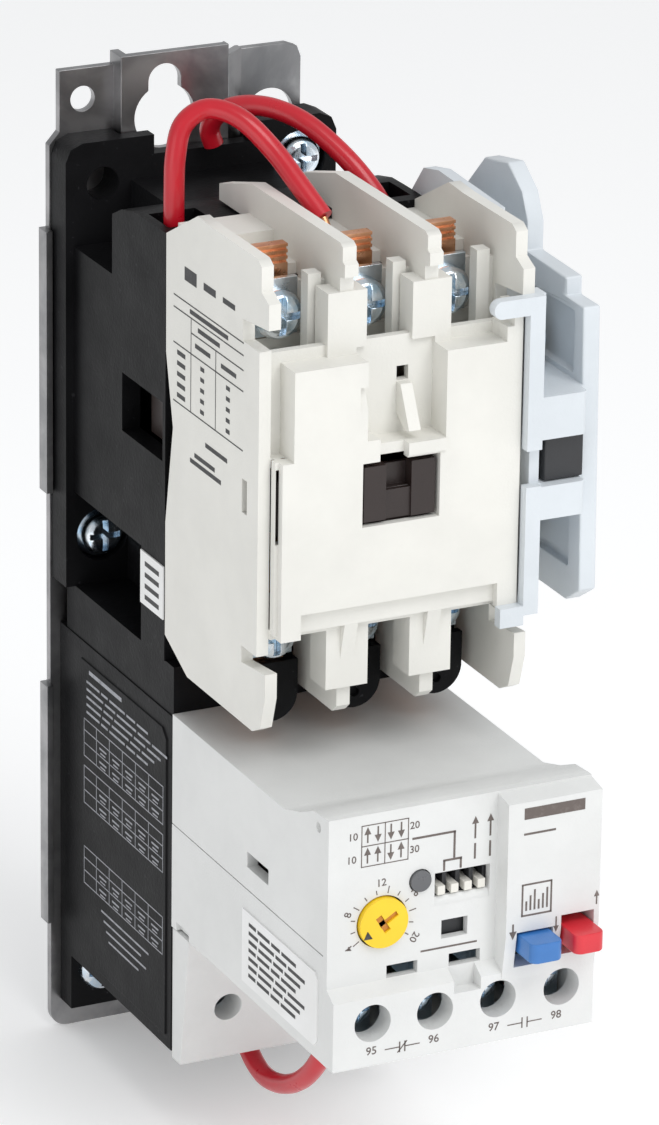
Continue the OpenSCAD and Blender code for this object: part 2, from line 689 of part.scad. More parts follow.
module aux_spring() {
    color("lightgray") on_plate() spring_y(28.3, 121.8, -57.9, -42.1, 1.7, 0.3, 8);
}

// ---- overload relay: power side ----

module relay_rear_housing() {
    color([0.12, 0.12, 0.12]) on_plate() difference() {
        union() {
            block(-half_w, half_w, relay_back_y, -plate_t, 14.8, 73.6);
            both_sides() block(-half_w, -9.5, -6, -plate_t, 5, 15);
        }
        block(-relay_in, relay_in, -47, -4.5, 17, 43.5);
        block(-relay_in, relay_in, -47, -4.5, 46, 71);
        block(-relay_in, relay_in, -47, -38, 43, 47);
        block(-relay_in, relay_in, -47, -29.5, 14, 17.1);
        for (p = poles) block(p - 3, p + 3, -31.6, -28.2, 43, 74);
        for (c = [-1, 1]) {
            rod_y(c * fix_x, 12, 2.2, -7, 0);
            rod_y(c * fix_x, 12, 4.6, -14, -6);
        }
    }
    // printed rating plate on the left side
    color([0.25, 0.26, 0.3]) on_plate() side_shape(-half_w - 0.25, -half_w,
        [[-10.5, 70.6], [-10.5, 24], [-18, 17], [-44.4, 17], [-44.4, 69], [-42.8, 70.6]]);
}

module relay_adapter() {
    arm_r = 4.4;
    arm_z = 83.4;
    color([0.12, 0.12, 0.12]) on_plate() difference() {
        union() {
            block(-half_w + 0.2, half_w - 0.2, relay_back_y, -4, 73.6, base_z0);
            for (p = poles) intersection() {
                union() {
                    rod_y(p, arm_z, arm_r, -66, -46);
                    block(p - arm_r, p + arm_r, -66, -46, arm_z, arm_z + 3);
                }
                block(-half_w, half_w, -67, -45, 74, 84.2);
            }
            for (p = poles) block(p - arm_r, p + arm_r, -66, -64.4, 83, 88.9);
        }
        for (p = poles) {
            block(p - 3, p + 3, -64.3, -28.2, 77.6, 80);
            block(p - 3, p + 3, -31.8, -28.2, 73, 80);
            block(p - 3, p + 3, -64.3, -61.9, 79, 85);
            rod_y(p, 81.6, 0.8, -67, -65.2);
        }
    }
}

module busbars() {
    half = 2.6;
    t = 1.2;
    color("chocolate") on_plate() for (p = poles) difference() {
        union() {
            block(p - half, p + half, -63.7, -62.5, 78.2, 97.5);
            block(p - half, p + half, -63.7, busbar_y + t / 2, 78.2, 78.2 + t);
            block(p - half, p + half, busbar_y - t / 2, busbar_y + t / 2, 31, 78.2 + t);
            block(p - half, p + half, -36.1, busbar_y + t / 2, 31, 31 + t);
            block(p - half, p + half, -36.1, -34.9, 19.4, 31 + t);
        }
        rod_y(p, load_screw_z, 2.2, -66, -60);
    }
}

module current_transformers() {
    color("darkorange") on_plate() for (p = poles) translate([p, busbar_y, 46])
        rotate_extrude() polygon([[3.4, 0], [5.3, 0], [6, 0.8], [6, 8.2], [5.3, 9], [3.4, 9]]);
}

module load_terminal_block() {
    front = [[relay_back_y, 13.7], [-49.6, 13.7], [-52.6, 36.8], [relay_back_y, 36.8]];
    color([0.86, 0.84, 0.81]) on_plate() difference() {
        union() {
            side_shape(-half_w + 0.2, half_w - 0.2, front);
            block(-20.2, 20.2, relay_back_y, -32, 17.2, 36);
        }
        for (p = poles) {
            rod_y(p, lug_z, 2.4, -56, -44);
            block(p - 4.7, p + 4.7, -44.8, -32.9, 19.2, 34);
            block(p - 2.8, p + 2.8, -33, -31.9, 30.7, 34);
            block(p - 2.6, p + 2.6, -40.8, -36.2, 13, 20);
        }
        translate([-7.2, -40.4, 10]) cylinder(r = 2.2, h = 30);
    }
}

module load_lugs() {
    color("lightsteelblue") on_plate() for (p = poles) difference() {
        block(p - 4.4, p + 4.4, -42.4, -33.6, 19.2, 27.4);
        block(p - 3.1, p + 3.1, -40.8, -34.8, 19, 28);
        rod_y(p, lug_z, 2, -44, -40);
    }
}

module load_lug_screws() {
    color("lightslategray") on_plate() for (p = poles) difference() {
        rod_y(p, lug_z, screw_r, -44.6, -40.9);
        translate([p, -44.6, lug_z]) cube([3.4, 1.6, 0.7], center = true);
    }
}

module relay_foot_screws() {
    color("lightsteelblue") on_plate() for (c = [-1, 1])
        pan_screw(c * fix_x, 12, 3.6, screw_r, -6, -0.2, 2.6);
}

// ---- overload relay: electronics housing ----

module relay_lower_shell() {
    color([0.9, 0.9, 0.88]) on_plate() difference() {
        block(-half_w, half_w, shell_front_y, relay_back_y, relay_z0, relay_seam_z - 0.1);
        difference() {
            block(-relay_in, relay_in, -104, relay_back_y - shell_wall, relay_z0 + shell_wall, 56);
            both_sides() block(-21, -18.2, -95.2, -93.6, 47.8, 49.5);
            block(-4.5, 8, -77.4, -66.6, 39, 50);
        }
        for (x = control_x) block(x - 2.3, x + 2.3, -97.6, -92.4, 36, 40);
        translate([-7.2, -75.6, 36]) cylinder(r = 2.2, h = 4);
        block(-23, -21.6, -53, -48.2, 33, 38.6);
    }
}

module relay_upper_shell() {
    lip = [[-87.3, 74], [-93.3, 75.8], [-98.1, 77.9], [shell_front_y, 78.2],
        [shell_front_y, 72.1], [-87.3, 72.1]];
    color([0.9, 0.9, 0.88]) on_plate() difference() {
        union() {
            block(-half_w, half_w, shell_front_y, relay_back_y, relay_seam_z + 0.1, relay_z1);
            side_shape(-half_w, half_w, lip);
        }
        block(-relay_in, relay_in, -104, relay_back_y - shell_wall, 55, relay_z1 - shell_wall);
        block(-23, -20, -82.3, -74.5, 59, 61.6);
        translate([-23, -99.8, 75.8]) rotate([0, 90, 0]) cylinder(r = 0.8, h = 1.2);
    }
}

module relay_front_cover() {
    back = shell_front_y;
    split_x = 6.3;
    top_z = 78.2;
    ledge_z = 49.5;
    cut_y = shell_front_y + 0.5;
    color([0.9, 0.91, 0.92]) on_plate() difference() {
        union() {
            block(-half_w, half_w, dial_y, back, relay_z0, top_z);
            side_shape(split_x, half_w, [[back, top_z], [brand_y, top_z - 1], [brand_y, 55],
                [terminal_y, 47], [back, 47]]);
            side_shape(-half_w, half_w, [[back, relay_z0], [terminal_y, relay_z0],
                [terminal_y, 48.6], [dial_y, ledge_z + 0.6], [back, ledge_z]]);
        }
        for (x = control_x) rod_y(x, control_z, control_hole_r, -108, cut_y);
        rod_y(dial_x, dial_z, dial_r + 0.25, -108, cut_y);
        rod_y(-6.8, 65.6, 1.9, -108, cut_y);
        block(-4.3, 5.2, -106, cut_y, 62, 66.3);
        side_shape(-4.3, 5.2, [[dial_y - 1, 59.3], [dial_y - 1, 62.1], [dial_y + 0.9, 62.1]]);
        block(-3, 1.5, -106, cut_y, 55.1, 58.2);
        block(8.2, 14.5, -108, cut_y, 49.3, 55.5);
        block(15.9, 21.6, -108, cut_y, 50.1, 57.1);
        block(-12.3, -7, -106, cut_y, 50.2, 52.3);
        block(-1.6, 3.8, -106, cut_y, 50.2, 52.3);
        block(-1.8, 2.8, -107, dial_y, 46.6, 50.4);
    }
}

module control_board() {
    color("darkgreen") on_plate() difference() {
        block(-19.5, 19.5, -95.2, -93.6, 49.5, 71.5);
        block(-2.1, 0.6, -96, -93, 52.2, 57.6);
        for (x = [-17, 17]) rod_y(x, 69, 1.2, -96, -93);
    }
}

module setting_dial() {
    front = dial_y - 0.8;
    color("gold") on_plate() difference() {
        union() {
            rod_y(dial_x, dial_z, dial_r, front, -101);
            rod_y(dial_x, dial_z, 1.5, -101, -98.2);
        }
        translate([dial_x, front, dial_z]) rotate([0, -32, 0]) {
            translate([0.9, 0, 0]) cube([3.4, 1.6, 0.9], center = true);
            translate([-0.2, 0, 0]) cube([1.1, 1.6, 3.1], center = true);
        }
    }
}

module dial_potentiometer() {
    color("royalblue") on_plate() difference() {
        block(dial_x - 3.5, dial_x + 3.5, -100, -95.3, dial_z - 3.5, dial_z + 3.5);
        rod_y(dial_x, dial_z, 1.55, -101, -97.8);
    }
}

module dip_switch_body() {
    color([0.1, 0.1, 0.1]) on_plate() difference() {
        block(-4.6, 5.5, -101.7, -95.3, 60.9, 67);
        for (x = dip_x) {
            block(x - 1, x + 1, -100, -98.3, dip_z - 0.2, dip_z + 3.8);
            block(x - 0.8, x + 0.8, -102, -99.8, dip_z - 0.2, dip_z + 3.8);
        }
    }
}

module dip_lever(n) {
    color("whitesmoke") on_plate() union() {
        block(dip_x[n] - 0.65, dip_x[n] + 0.65, -103.2, -99.8, dip_z, dip_z + 1.5);
        block(dip_x[n] - 0.85, dip_x[n] + 0.85, -99.8, -98.5, dip_z, dip_z + 1.5);
    }
}

module dip_lever_1() { dip_lever(0); }
module dip_lever_2() { dip_lever(1); }
module dip_lever_3() { dip_lever(2); }
module dip_lever_4() { dip_lever(3); }

module status_led() {
    color([0.45, 0.46, 0.48]) on_plate() union() {
        rod_y(-6.8, 65.6, 1.75, -103.9, -98);
        rod_y(-6.8, 65.6, 2, -98, -95.3);
    }
}

module trip_flag() {
    color("dimgray") on_plate() union() {
        block(-3.2, 1.7, -101.6, -100.6, 52.6, 58.9);
        block(-1.5, 0, -100.6, -88, 55, 57);
    }
}

module trip_relay() {
    color("saddlebrown") on_plate() union() {
        block(-8, 8, -87.5, -86, 50, 68);
        block(-8, 8, -68, -66.5, 50, 68);
        block(-8, 8, -87.5, -66.5, 50, 51.5);
        rod_y(0, 60, 6, -86.2, -67.8);
    }
}

module signal_contacts() {
    color("peru") on_plate() for (i = [0, 2]) {
        left = control_x[i];
        right = control_x[i + 1];
        block(left - 1.4, left + 1.4, -91, -79, 41, 41.8);
        block(left - 1.4, left + 1.4, -79.8, -79, 41, 46.8);
        block(left - 1.4, left + 6.4, -79.8, -79, 46, 46.8);
        block(right - 1.4, right + 1.4, -91, -79, 41, 41.8);
        block(right - 1.4, right + 1.4, -79.8, -79, 41, 48.6);
        block(right - 6.4, right + 1.4, -79.8, -79, 47.8, 48.6);
    }
}

module lever_nose(x0, x1, y0, y1, z0, z1) {
    r = 1.3;
    block(x0, x1, y0 + r, y1, z0, z1);
    block(x0 + r, x1 - r, y0, y0 + 2 * r, z0, z1);
    for (x = [x0 + r, x1 - r]) translate([x, y0 + r, z0]) cylinder(r = r, h = z1 - z0);
}

module reset_lever() {
    color("royalblue") on_plate() union() {
        lever_nose(8.6, 14.1, brand_y - lever_out, -101.7, 51.8, 55.1);
        block(8.6, 14.1, -101.7, -98.4, 51.2, 57);
    }
}

module trip_lever() {
    color("crimson") on_plate() union() {
        lever_nose(16.2, 21.3, brand_y - lever_out, -102.4, 52, 55.3);
        block(16.2, 20.1, -102.5, -101.7, 52, 55.3);
        block(16.2, 20.1, -101.7, -98.4, 51.4, 57.2);
    }
}

module reset_spring() {
    color("lightgray") on_plate() translate([11.35, -100, 39.2]) coil_spring(11.9, 1.3, 0.25, 7);
}

module trip_spring() {
    color("lightgray") on_plate() translate([18.2, -100, 57.3]) coil_spring(14.7, 1.3, 0.25, 8);
}

module control_terminal_screws() {
    color("lightsteelblue") on_plate() for (x = control_x)
        pan_screw(x, control_z, 2.7, 1.5, -98.9, -96.4, 1.8);
}

module control_clamps() {
    color("lightslategray") on_plate() for (x = control_x) difference() {
        block(x - 3, x + 3, -98.9, -91, 39.1, 47.6);
        block(x - 2.2, x + 2.2, -97.7, -92.1, 39, 48);
        rod_y(x, control_z, 1.55, -100, -97);
    }
}

module white_labels() {
    t = 0.25;
    color("white") on_plate() {
        side_shape(-half_w - t, -half_w, [[-73.5, 39.2], [-99.6, 39.2], [-100.6, 40.2],
            [-100.6, 50.6], [-99.6, 51.6], [-73.5, 51.6]]);
        side_shape(-half_w - t, -half_w, [[-34.2, 89], [-42.9, 89], [-42.9, 98], [-34.2, 98]]);
    }
}

// ---- wiring ----

module jumper_wires() {
    core_r = wire_d / 4.6;
    color("crimson") on_plate() {
        tube(wire_a, wire_d / 2);
        tube(wire_b, wire_d / 2);
    }
    color("peru") on_plate() tube(wire_a_core, core_r, 8, 2);
}

module control_wire() {
    color("crimson") on_plate() tube(wire_c, wire_d / 2);
}

mounting_plate();
contactor_base();
contactor_cover();
fixed_core();
shading_rings();
coil_bobbin();
coil_winding();
coil_terminals();
coil_terminal_screws();
armature();
contact_carrier();
moving_contacts();
contact_springs();
return_springs();
line_contacts();
load_contacts();
terminal_nut_plates();
terminal_clamps();
terminal_screws();
base_screws();
aux_housing();
aux_outer_plate();
aux_plunger();
aux_moving_contact();
aux_fixed_contacts();
aux_clamps();
aux_screws();
aux_spring();
relay_rear_housing();
relay_adapter();
busbars();
current_transformers();
load_terminal_block();
load_lugs();
load_lug_screws();
relay_foot_screws();
relay_lower_shell();
relay_upper_shell();
relay_front_cover();
control_board();
setting_dial();
dial_potentiometer();
dip_switch_body();
dip_lever_1();
dip_lever_2();
dip_lever_3();
dip_lever_4();
status_led();
trip_flag();
trip_relay();
signal_contacts();
reset_lever();
trip_lever();
reset_spring();
trip_spring();
control_terminal_screws();
control_clamps();
white_labels();
jumper_wires();
control_wire();
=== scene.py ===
# %% [markdown]
# # A magnetic motor starter
# This lesson dresses a finished mechanical model: a contactor with an auxiliary
# contact block, an overload relay and the steel plate that carries them. The
# solid parts come in with their true sizes, so nothing is resized here. We give
# them soft moulded edges, real finishes, printed scales and insulated wires.

# %% Load the mechanical model
import bpy
import json
import math
from mathutils import Matrix, Vector


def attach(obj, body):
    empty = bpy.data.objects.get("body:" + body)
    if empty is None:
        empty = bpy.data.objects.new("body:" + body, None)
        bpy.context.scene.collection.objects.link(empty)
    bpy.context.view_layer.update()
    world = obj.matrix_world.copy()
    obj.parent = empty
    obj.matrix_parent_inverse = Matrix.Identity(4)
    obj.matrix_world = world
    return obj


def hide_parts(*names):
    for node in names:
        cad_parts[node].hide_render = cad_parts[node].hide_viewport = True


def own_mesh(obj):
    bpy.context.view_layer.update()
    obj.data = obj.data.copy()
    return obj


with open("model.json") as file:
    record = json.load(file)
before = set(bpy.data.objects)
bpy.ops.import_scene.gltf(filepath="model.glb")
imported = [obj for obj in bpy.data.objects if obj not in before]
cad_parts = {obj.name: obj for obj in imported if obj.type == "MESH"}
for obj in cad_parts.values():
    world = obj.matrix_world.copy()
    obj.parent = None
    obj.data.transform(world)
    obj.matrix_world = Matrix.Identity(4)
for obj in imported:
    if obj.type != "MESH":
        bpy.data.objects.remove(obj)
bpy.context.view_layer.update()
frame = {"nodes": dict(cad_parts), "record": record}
nodes = frame["nodes"]
bodies = frame["record"]["behaviour"]["bodies"]
home = {node: body for body, group in bodies.items() for node in group}

# %% [markdown]
# Sizes on a switchgear drawing are in millimetres, counted from the bottom edge
# of the mounting plate, the left-right middle and the panel's surface. One small
# function turns such a place into metres in the model's own frame, whose origin
# is the lower screw hole, 7 mm above that edge.

# %% Drawing millimetres to metres
MM = 0.001
HOLE_HEIGHT = 7.0


def place(x, y, z):
    return Vector((x, y, z - HOLE_HEIGHT)) * MM


print("lower screw hole at", tuple(place(0, 0, 7)))

# %% [markdown]
# The camera stands to the left and above, with a long lens, so that upright
# edges stay nearly parallel as on a catalogue picture. Its turn is built from
# three directions: towards the viewer, to the right, and up, with a small roll.

# %% Camera
CAMERA_AT = (-0.407517, -0.888167, 0.452288)
turn, rise, roll = math.radians(26.1), math.radians(21.2), math.radians(0.85)
back = Vector((-math.sin(turn) * math.cos(rise), -math.cos(turn) * math.cos(rise), math.sin(rise)))
right = Vector((math.cos(turn), -math.sin(turn), 0))
up = back.cross(right)
tilted_right = math.cos(roll) * right + math.sin(roll) * up
tilted_up = math.cos(roll) * up - math.sin(roll) * right
bpy.ops.object.camera_add()
camera = bpy.context.object
camera.name = "catalogue_camera"
camera.data.lens = 201.6
camera.data.sensor_width = 36
camera.matrix_world = Matrix((
    (tilted_right.x, tilted_up.x, back.x, CAMERA_AT[0]),
    (tilted_right.y, tilted_up.y, back.y, CAMERA_AT[1]),
    (tilted_right.z, tilted_up.z, back.z, CAMERA_AT[2]),
    (0, 0, 0, 1)))
camera.data.clip_start, camera.data.clip_end = 0.05, 20
bpy.context.scene.camera = camera
print("camera looks from", tuple(round(c, 3) for c in camera.location))

# %% [markdown]
# Studio light for small white housings: a bright white room that fills the
# shadows, a soft key from the front right, a low fill from the left so that the
# shaded sides stay light, and a broad lamp overhead for the flat tops. The
# standard view keeps white plastic white, as a catalogue print does.

# %% Room light and three soft lamps
bpy.context.scene.view_settings.view_transform = "Standard"
world = bpy.data.worlds.new("white_room")
bpy.context.scene.world = world
world.use_nodes = True
room = world.node_tree.nodes["Background"].inputs
room["Color"].default_value = (0.97, 0.985, 1.0, 1)
room["Strength"].default_value = 0.62


def soft_lamp(name, position, target, size, power):
    bpy.ops.object.light_add(type="AREA", location=position)
    lamp = bpy.context.object
    lamp.name = name
    lamp.data.shape = "RECTANGLE"
    lamp.data.size, lamp.data.size_y = size
    lamp.data.energy = power
    aim = Vector(target) - Vector(position)
    lamp.rotation_euler = aim.to_track_quat("-Z", "Y").to_euler()
    return lamp


middle = (0, -0.05, 0.08)
soft_lamp("key", (0.3, -0.95, 0.5), middle, (0.4, 0.4), 1.5)
soft_lamp("fill", (-0.85, -0.45, 0.15), middle, (0.6, 0.7), 1.3)
soft_lamp("overhead", (0.1, -0.55, 0.8), middle, (0.6, 0.4), 3)

# %% [markdown]
# The floor is a big pale sheet just under the plate's lower edge. It glows a little, so that the
# shadow on it stays faint. It isn't part of the starter.

# %% Floor
FLOOR_GAP = 0.2
bpy.ops.mesh.primitive_plane_add(size=6, location=place(0, 0, -FLOOR_GAP))
floor = bpy.context.object
floor.name = "studio_floor"
sheet = bpy.data.materials.new("paper_sheet")
sheet.use_nodes = True
sheet_inputs = sheet.node_tree.nodes["Principled BSDF"].inputs
sheet_inputs["Base Color"].default_value = (0.9, 0.9, 0.9, 1)
sheet_inputs["Roughness"].default_value = 0.9
sheet_inputs["Emission Color"].default_value = (1, 1, 1, 1)
sheet_inputs["Emission Strength"].default_value = 0.25
floor.data.materials.append(sheet)
print("floor at", round(floor.location.z, 4))

# %% [markdown]
# Shader maths is easier to read as formulas. A Field is one value that changes
# over a surface; adding or multiplying fields places the Math nodes. A Finish is
# one material in the making: `node` adds any other node and returns its output.

# %% A small language for materials
class Field:
    def __init__(self, finish, socket):
        self.finish, self.socket = finish, socket

    def _math(self, operation, first, second):
        return self.finish.node("ShaderNodeMath", {"operation": operation},
                                inputs={0: first, 1: second})

    def __add__(self, other): return self._math("ADD", self, other)
    def __radd__(self, other): return self._math("ADD", other, self)
    def __sub__(self, other): return self._math("SUBTRACT", self, other)
    def __rsub__(self, other): return self._math("SUBTRACT", other, self)
    def __mul__(self, other): return self._math("MULTIPLY", self, other)
    def __rmul__(self, other): return self._math("MULTIPLY", other, self)

    def step(self, low, high):
        """0 below low, 1 above high, smooth between."""
        return self.finish.node("ShaderNodeMapRange", {"interpolation_type": "SMOOTHSTEP"},
                                inputs={"Value": self, "From Min": low, "From Max": high})


class Finish:
    def __init__(self, name, roughness, metallic=0.0, coat=0.0):
        self.material = bpy.data.materials.new(name)
        self.material.use_nodes = True
        self.tree = self.material.node_tree
        self.shader = self.tree.nodes["Principled BSDF"]
        self.shader.inputs["Roughness"].default_value = roughness
        self.shader.inputs["Metallic"].default_value = metallic
        self.shader.inputs["Coat Weight"].default_value = coat
        self.where = self.node("ShaderNodeTexCoord", out="Object")

    def node(self, kind, settings=None, inputs=None, out=0):
        made = self.tree.nodes.new(kind)
        for key, value in (settings or {}).items():
            setattr(made, key, value)
        for key, value in (inputs or {}).items():
            if isinstance(value, Field):
                self.tree.links.new(value.socket, made.inputs[key])
            else:
                made.inputs[key].default_value = value
        return Field(self, made.outputs[out])

    def noise(self, scale, detail, roughness, where=None, distortion=0.0):
        return self.node("ShaderNodeTexNoise", inputs={
            "Vector": where or self.where, "Scale": scale, "Detail": detail,
            "Roughness": roughness, "Distortion": distortion})

    def stretched(self, x, y, z):
        """Object coordinates scaled apart, for brushed or drawn grain."""
        return self.node("ShaderNodeMapping", inputs={"Vector": self.where, "Scale": (x, y, z)})

    def mix(self, mask, first, second):
        as_rgba = lambda c: c if isinstance(c, Field) else (*c[:3], 1)
        return self.node("ShaderNodeMix", {"data_type": "RGBA"}, inputs={
            "Factor": mask, 6: as_rgba(first), 7: as_rgba(second)}, out=2)

    def feed(self, **fields):
        """Links each field to the shader's input of that name."""
        for key, field in fields.items():
            self.tree.links.new(field.socket, self.shader.inputs[key.replace("_", " ")])

    def bump(self, height, depth):
        """Depth is the height's full swing in metres."""
        self.feed(Normal=self.node("ShaderNodeBump", inputs={
            "Height": height, "Distance": depth, "Strength": 1}, out="Normal"))


print("materials can be written as formulas")

# %% [markdown]
# Moulded plastic isn't one flat colour: the melt leaves faint clouds, spark
# eroded tools leave a fine grain, and handling polishes it unevenly. One recipe
# with a few numbers covers all the housings. The black base is duller than the
# rest, so it gets a low refractive index and pale flecks of filler.

# %% Moulded plastics
def moulded(name, colour, roughness, clouds=0.05, grain=0.00002, grain_scale=2500, flecks=0.0,
            fleck_colour=(0, 0, 0), coat=0.0, index=1.5):
    finish = Finish(name, roughness, coat=coat)
    finish.shader.inputs["IOR"].default_value = index
    cloud = finish.noise(55, 4, 0.6)
    pale = [min(1, c * (1 + clouds)) for c in colour]
    deep = [c * (1 - 1.4 * clouds) for c in colour]
    tone = finish.mix(cloud.step(0.3, 0.7), deep, pale)
    if flecks:
        spots = finish.noise(900, 2, 0.5).step(0.70, 0.78) * flecks
        tone = finish.mix(spots, tone, fleck_colour)
    rub = finish.noise(160, 5, 0.65)
    finish.feed(Base_Color=tone, Roughness=(rub - 0.5) * 0.22 + roughness)
    finish.bump(finish.noise(grain_scale, 3, 0.6), grain)
    return finish.material


plastics = {
    "warm_white": moulded("warm_white", (0.76, 0.75, 0.705), 0.46, 0.03, 0.00003),
    "relay_white": moulded("relay_white", (0.73, 0.735, 0.725), 0.5, 0.03, 0.00004),
    "ice_white": moulded("ice_white", (0.66, 0.70, 0.735), 0.42, 0.03, 0.00003),
    "black_plastic": moulded("black_phenolic", (0.0065, 0.0065, 0.0072), 0.46, 0.25, 0.00005, 1500,
                             0.5, (0.045, 0.045, 0.05), index=1.2),
    "brown_plastic": moulded("brown_carrier", (0.025, 0.015, 0.013), 0.38, 0.12, 0.00003),
    "grey_plastic": moulded("dark_grey", (0.028, 0.029, 0.032), 0.42, 0.12, 0.00003),
    "bobbin_plastic": moulded("bobbin_nylon", (0.60, 0.57, 0.50), 0.4, 0.05),
    "yellow_plastic": moulded("dial_yellow", (0.93, 0.62, 0.02), 0.38, 0.05, 0.00002),
    "blue_plastic": moulded("reset_blue", (0.045, 0.19, 0.52), 0.33, 0.08, 0.00002, coat=0.1),
    "red_plastic": moulded("trip_red", (0.70, 0.03, 0.045), 0.33, 0.06, 0.00002, coat=0.1),
    "white_lever": moulded("selector_white", (0.78, 0.76, 0.70), 0.4, 0.04),
    "trimmer_blue": moulded("trimmer_blue", (0.06, 0.18, 0.46), 0.4, 0.08),
    "lamp_grey": moulded("lamp_lens", (0.115, 0.118, 0.125), 0.3, 0.1, 0.00001, coat=0.3),
    "ferrite_orange": moulded("core_epoxy", (0.58, 0.26, 0.05), 0.45, 0.08),
    "relay_brown": moulded("coil_varnish", (0.20, 0.10, 0.05), 0.35, 0.15),
    "red_insulation": moulded("red_vinyl", (0.52, 0.006, 0.018), 0.3, 0.07, 0.00001, 900, coat=0.2),
}
print(len(plastics), "plastics")

# %% [markdown]
# Metals differ by how they were made. Zinc plate on sheet steel is dull and
# cloudy with faint rolling lines. Blue-passivated screws are bright, and their
# tint drifts from silver to sky blue. Copper darkens where it was handled.

# %% Metals
def plated(name, colour, tint, roughness, spread, scale, lines=None, depth=0.00002):
    """`lines` stretches the noise into drawn or rolled lines; without it, fine grain."""
    finish = Finish(name, roughness, metallic=1.0)
    patch = finish.noise(scale, 4, 0.6, distortion=0.4)
    tone = finish.mix(patch.step(0.35, 0.65), colour, tint)
    smudge = finish.noise(scale * 2.7, 5, 0.7)
    finish.feed(Base_Color=tone, Roughness=(smudge - 0.5) * spread * 2 + roughness)
    if lines:
        drawn = finish.noise(1, 3, 0.6, where=finish.stretched(*lines))
        finish.bump(drawn, depth)
    else:
        finish.bump(finish.noise(scale * 12, 3, 0.6), depth)
    return finish.material


metals = {
    "galvanised": plated("zinc_sheet", (0.40, 0.395, 0.40), (0.26, 0.26, 0.265), 0.32, 0.1, 90,
                         (1500, 1500, 90), 0.00001),
    "zinc_screw": plated("blue_zinc", (0.80, 0.84, 0.88), (0.52, 0.68, 0.82), 0.2, 0.12, 330),
    "steel_zinc": plated("zinc_clamp", (0.66, 0.70, 0.73), (0.52, 0.60, 0.66), 0.3, 0.12, 160),
    "spring_steel": plated("spring_wire", (0.62, 0.62, 0.62), (0.5, 0.5, 0.5), 0.28, 0.1, 200),
    "laminated_steel": plated("core_sheets", (0.36, 0.36, 0.38), (0.28, 0.28, 0.29), 0.42, 0.1, 120,
                              (4000, 60, 60), 0.00008),
    "copper": plated("bare_copper", (0.86, 0.46, 0.27), (0.66, 0.30, 0.15), 0.3, 0.14, 260),
    "winding": plated("enamelled_wire", (0.55, 0.20, 0.09), (0.42, 0.13, 0.05), 0.3, 0.08, 90,
                      (60, 2600, 60), 0.0001),
    "contact_brass": plated("contact_brass", (0.80, 0.60, 0.30), (0.66, 0.46, 0.20), 0.3, 0.12,
                            200),
}
print(len(metals), "metals")

# %% [markdown]
# Two finishes are neither: the circuit board's green mask over woven glass, and
# the white film of the labels, which is smooth with a slight sheen.

# %% Board and label film
board = Finish("board_mask", 0.35, coat=0.3)
weave = board.noise(1, 1, 0.5, where=board.stretched(3000, 3000, 400))
board.feed(Base_Color=board.mix(weave.step(0.4, 0.6), (0.012, 0.10, 0.035), (0.02, 0.15, 0.055)),
           Roughness=weave * 0.1 + 0.28)
board.bump(weave, 0.00002)

film = Finish("label_film", 0.4)
film_cloud = film.noise(70, 4, 0.6)
film.feed(Base_Color=film.mix(film_cloud.step(0.3, 0.7), (0.80, 0.80, 0.79), (0.86, 0.86, 0.86)),
          Roughness=film_cloud * 0.15 + 0.33)
film.bump(film.noise(700, 2, 0.5), 0.00001)

finishes = {**plastics, **metals, "board_green": board.material, "label_white": film.material}
print(len(finishes), "finishes in all")

# %% [markdown]
# Each CAD part already knows its material slot. Giving every part its finish
# first means that nothing is left in plain grey, whatever is remodelled later.

# %% Dress every part
slots = {row["node"]: row["material_slot"] for row in frame["record"]["subparts"]}
for name, part in nodes.items():
    part.data.materials.clear()
    part.data.materials.append(finishes[slots[name]])
print("dressed", len(nodes), "parts")

# %% [markdown]
# Real moulded and pressed parts have no razor edges, and the thin bright line
# along an edge is what makes a plastic housing look real. The CAD part stays as
# it is. We copy it, merge its loose triangles, dissolve the flat ones into whole
# faces, and let a Bevel modifier roll the edges over. Weighted normals keep the
# large walls flat between the rolled edges.

# %% Copy a part with rolled edges
def deselect():
    if bpy.context.object and bpy.context.object.mode != "OBJECT":
        bpy.ops.object.mode_set(mode="OBJECT")
    bpy.ops.object.select_all(action="DESELECT")


def activate(obj):
    deselect()
    obj.select_set(True)
    bpy.context.view_layer.objects.active = obj


def apply_all(obj):
    activate(obj)
    for modifier in list(obj.modifiers):
        bpy.ops.object.modifier_apply(modifier=modifier.name)


def copy_of(node, name):
    activate(nodes[node])
    bpy.ops.object.duplicate()
    copy = bpy.context.object
    copy.name = name
    return copy


def stand_in(copy, node):
    """Rides on the CAD part's body and is shown instead of it."""
    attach(copy, home[node])
    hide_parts(node)


def rolled(node, width):
    """A copy of a CAD part with its sharp edges rounded to width millimetres."""
    copy = copy_of(node, node + "_rolled")
    bpy.ops.object.mode_set(mode="EDIT")
    bpy.ops.mesh.select_all(action="SELECT")
    bpy.ops.mesh.remove_doubles(threshold=0.000002)
    bpy.ops.mesh.dissolve_limited(angle_limit=math.radians(0.6))
    bpy.ops.object.mode_set(mode="OBJECT")
    bevel = copy.modifiers.new("rolled_edges", "BEVEL")
    bevel.width = width * MM
    bevel.segments = 2
    bevel.limit_method = "ANGLE"
    bevel.angle_limit = math.radians(35)
    bevel.miter_outer = "MITER_ARC"
    bevel.use_clamp_overlap = True
    apply_all(copy)
    bpy.ops.object.shade_smooth_by_angle(angle=math.radians(32))
    level = copy.modifiers.new("flat_walls", "WEIGHTED_NORMAL")
    level.keep_sharp = True
    level.weight = 100
    apply_all(copy)
    stand_in(copy, node)
    print(copy.name, len(copy.data.polygons), "faces")


print("copies can be rolled")

# %% [markdown]
# Thick mouldings get the widest rounding, and thin metal parts the narrowest.

